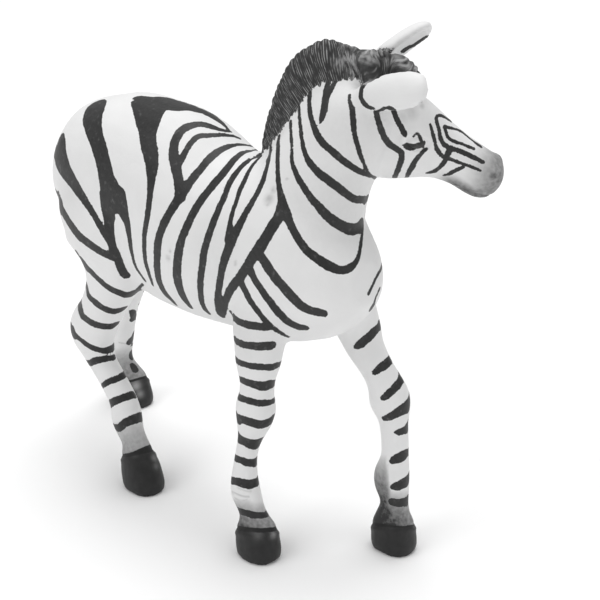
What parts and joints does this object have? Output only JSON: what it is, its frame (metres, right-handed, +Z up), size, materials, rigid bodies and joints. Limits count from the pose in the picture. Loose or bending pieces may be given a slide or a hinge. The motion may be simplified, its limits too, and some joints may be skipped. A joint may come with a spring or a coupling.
{
  "type": "zebra figurine",
  "caption": "Small solid vinyl zebra walking on its own hooves, head turned to its left, ears pricked, standing mane, hand-painted dark stripes on pale grey-white",
  "frame": {"origin": "centre of the box's bottom, on the ground under the hooves", "axes": "+X is the way the body faces, +Y is the animal's left, to which the head is turned, +Z is up"},
  "size_m": [0.1094, 0.0462, 0.1115],
  "materials": {
    "painted_vinyl": "satin vinyl, off-white coat with hand-painted charcoal stripes, dark mane, muzzle and hooves"
  },
  "bodies": {
    "root": {"zebra_figurine": "painted_vinyl"}
  },
  "joints": []
}
